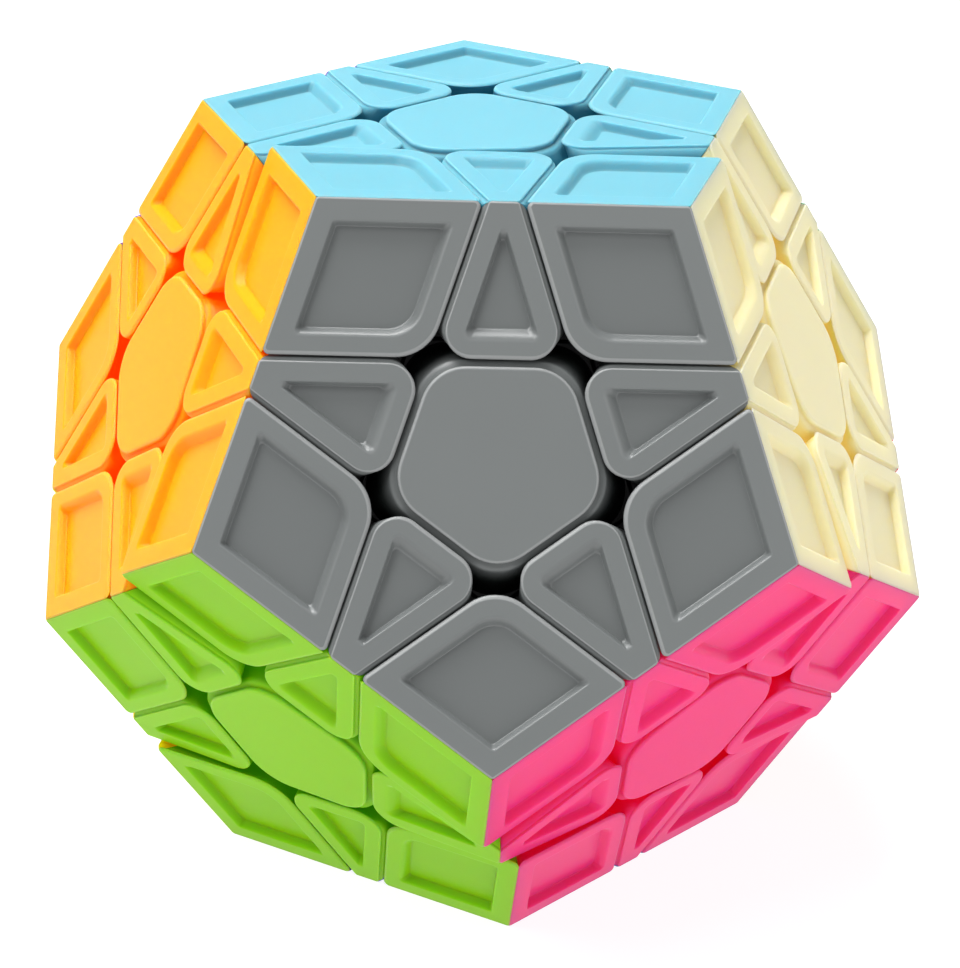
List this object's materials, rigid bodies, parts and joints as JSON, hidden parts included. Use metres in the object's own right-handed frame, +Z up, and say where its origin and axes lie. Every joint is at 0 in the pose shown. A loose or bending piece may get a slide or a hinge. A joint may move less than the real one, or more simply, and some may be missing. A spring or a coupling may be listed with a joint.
{
  "type": "dodecahedron twisty puzzle",
  "caption": "Stickerless dodecahedron twisty puzzle: a sprung core with coloured centre caps, edge pieces and corner pieces with sunken tiles, in turning layers.",
  "frame": {"origin": "middle of the dark blue face that it stands on", "axes": "+Z up through the light blue centre, along that layer's axis; the gray face looks up and towards -Y. At rest the gray layer is 2.6 degrees and the dark blue layer 3 degrees clockwise of square, seen from outside, so joint values of 2.6 and 3 degrees square them up"},
  "size_m": [0.081, 0.0852, 0.0698],
  "materials": {
    "light_blue_plastic": "moulded, gloss with a soft satin bloom",
    "gray_plastic": "moulded, gloss with a soft satin bloom",
    "cream_plastic": "moulded, gloss with a soft satin bloom",
    "dark_green_plastic": "moulded, gloss with a soft satin bloom",
    "purple_plastic": "moulded, gloss with a soft satin bloom",
    "orange_plastic": "moulded, gloss with a soft satin bloom",
    "pink_plastic": "moulded, gloss with a soft satin bloom",
    "red_plastic": "moulded, gloss with a soft satin bloom",
    "white_plastic": "moulded, gloss with a soft satin bloom",
    "yellow_plastic": "moulded, gloss with a soft satin bloom",
    "lime_plastic": "moulded, gloss with a soft satin bloom",
    "dark_blue_plastic": "moulded, gloss with a soft satin bloom",
    "black_plastic": "moulded, matte",
    "steel": "zinc plated"
  },
  "bodies": {
    "core": {"core_spider": "black_plastic", "tension_screws": "steel", "coil_springs": "steel", "spring_washers": "steel", "inner_pieces_fixed": "black_plastic", "light_blue_shells_fixed": "light_blue_plastic", "cream_shells_fixed": "cream_plastic", "purple_shells_fixed": "purple_plastic", "orange_shells_fixed": "orange_plastic", "pink_shells_fixed": "pink_plastic", "red_shells_fixed": "red_plastic", "white_shells_fixed": "white_plastic", "yellow_shells_fixed": "yellow_plastic", "lime_shells_fixed": "lime_plastic"},
    "gray_layer": {"inner_pieces_gray_layer": "black_plastic", "light_blue_shells_gray_layer": "light_blue_plastic", "gray_shells_gray_layer": "gray_plastic", "cream_shells_gray_layer": "cream_plastic", "orange_shells_gray_layer": "orange_plastic", "pink_shells_gray_layer": "pink_plastic", "lime_shells_gray_layer": "lime_plastic"},
    "dark_green_layer": {"inner_pieces_dark_green_layer": "black_plastic", "light_blue_shells_dark_green_layer": "light_blue_plastic", "cream_shells_dark_green_layer": "cream_plastic", "dark_green_shells_dark_green_layer": "dark_green_plastic", "purple_shells_dark_green_layer": "purple_plastic", "red_shells_dark_green_layer": "red_plastic", "white_shells_dark_green_layer": "white_plastic"},
    "dark_blue_layer": {"inner_pieces_dark_blue_layer": "black_plastic", "pink_shells_dark_blue_layer": "pink_plastic", "red_shells_dark_blue_layer": "red_plastic", "white_shells_dark_blue_layer": "white_plastic", "yellow_shells_dark_blue_layer": "yellow_plastic", "lime_shells_dark_blue_layer": "lime_plastic", "dark_blue_shells_dark_blue_layer": "dark_blue_plastic"},
    "light_blue_centre": {"light_blue_centre_hub": "black_plastic", "light_blue_centre_cap": "light_blue_plastic"},
    "gray_centre": {"gray_centre_hub": "black_plastic", "gray_centre_cap": "gray_plastic"},
    "cream_centre": {"cream_centre_hub": "black_plastic", "cream_centre_cap": "cream_plastic"},
    "dark_green_centre": {"dark_green_centre_hub": "black_plastic", "dark_green_centre_cap": "dark_green_plastic"},
    "purple_centre": {"purple_centre_hub": "black_plastic", "purple_centre_cap": "purple_plastic"},
    "orange_centre": {"orange_centre_hub": "black_plastic", "orange_centre_cap": "orange_plastic"},
    "pink_centre": {"pink_centre_hub": "black_plastic", "pink_centre_cap": "pink_plastic"},
    "red_centre": {"red_centre_hub": "black_plastic", "red_centre_cap": "red_plastic"},
    "white_centre": {"white_centre_hub": "black_plastic", "white_centre_cap": "white_plastic"},
    "yellow_centre": {"yellow_centre_hub": "black_plastic", "yellow_centre_cap": "yellow_plastic"},
    "lime_centre": {"lime_centre_hub": "black_plastic", "lime_centre_cap": "lime_plastic"},
    "dark_blue_centre": {"dark_blue_centre_hub": "black_plastic", "dark_blue_centre_cap": "dark_blue_plastic"}
  },
  "joints": [
    {"name": "gray_layer_turn", "type": "hinge", "parent": "core", "child": "gray_layer", "pos_m": [0, 0, 0.03452], "axis": [0, -0.8944, 0.4472], "continuous": true},
    {"name": "dark_green_layer_turn", "type": "hinge", "parent": "core", "child": "dark_green_layer", "pos_m": [0, 0, 0.03452], "axis": [0.5257, 0.7236, 0.4472], "continuous": true},
    {"name": "dark_blue_layer_turn", "type": "hinge", "parent": "core", "child": "dark_blue_layer", "pos_m": [0, 0, 0.03452], "axis": [0, 0, -1], "continuous": true},
    {"name": "light_blue_centre_lift", "type": "slide", "parent": "core", "child": "light_blue_centre", "axis": [0, 0, 1], "range_m": [0, 0.0005], "stiffness_N_per_m": 1500, "springref_m": -0.0008, "deforming": ["coil_springs"]},
    {"name": "gray_centre_lift", "type": "slide", "parent": "gray_layer", "child": "gray_centre", "axis": [0, -0.8944, 0.4472], "range_m": [0, 0.0005], "stiffness_N_per_m": 1500, "springref_m": -0.0008, "deforming": ["coil_springs"]},
    {"name": "cream_centre_lift", "type": "slide", "parent": "core", "child": "cream_centre", "axis": [0.8507, -0.2764, 0.4472], "range_m": [0, 0.0005], "stiffness_N_per_m": 1500, "springref_m": -0.0008, "deforming": ["coil_springs"]},
    {"name": "dark_green_centre_lift", "type": "slide", "parent": "dark_green_layer", "child": "dark_green_centre", "axis": [0.5257, 0.7236, 0.4472], "range_m": [0, 0.0005], "stiffness_N_per_m": 1500, "springref_m": -0.0008, "deforming": ["coil_springs"]},
    {"name": "purple_centre_lift", "type": "slide", "parent": "core", "child": "purple_centre", "axis": [-0.5257, 0.7236, 0.4472], "range_m": [0, 0.0005], "stiffness_N_per_m": 1500, "springref_m": -0.0008, "deforming": ["coil_springs"]},
    {"name": "orange_centre_lift", "type": "slide", "parent": "core", "child": "orange_centre", "axis": [-0.8507, -0.2764, 0.4472], "range_m": [0, 0.0005], "stiffness_N_per_m": 1500, "springref_m": -0.0008, "deforming": ["coil_springs"]},
    {"name": "pink_centre_lift", "type": "slide", "parent": "core", "child": "pink_centre", "axis": [0.5257, -0.7236, -0.4472], "range_m": [0, 0.0005], "stiffness_N_per_m": 1500, "springref_m": -0.0008, "deforming": ["coil_springs"]},
    {"name": "red_centre_lift", "type": "slide", "parent": "core", "child": "red_centre", "axis": [0.8507, 0.2764, -0.4472], "range_m": [0, 0.0005], "stiffness_N_per_m": 1500, "springref_m": -0.0008, "deforming": ["coil_springs"]},
    {"name": "white_centre_lift", "type": "slide", "parent": "core", "child": "white_centre", "axis": [0, 0.8944, -0.4472], "range_m": [0, 0.0005], "stiffness_N_per_m": 1500, "springref_m": -0.0008, "deforming": ["coil_springs"]},
    {"name": "yellow_centre_lift", "type": "slide", "parent": "core", "child": "yellow_centre", "axis": [-0.8507, 0.2764, -0.4472], "range_m": [0, 0.0005], "stiffness_N_per_m": 1500, "springref_m": -0.0008, "deforming": ["coil_springs"]},
    {"name": "lime_centre_lift", "type": "slide", "parent": "core", "child": "lime_centre", "axis": [-0.5257, -0.7236, -0.4472], "range_m": [0, 0.0005], "stiffness_N_per_m": 1500, "springref_m": -0.0008, "deforming": ["coil_springs"]},
    {"name": "dark_blue_centre_lift", "type": "slide", "parent": "dark_blue_layer", "child": "dark_blue_centre", "axis": [0, 0, -1], "range_m": [0, 0.0005], "stiffness_N_per_m": 1500, "springref_m": -0.0008, "deforming": ["coil_springs"]}
  ]
}
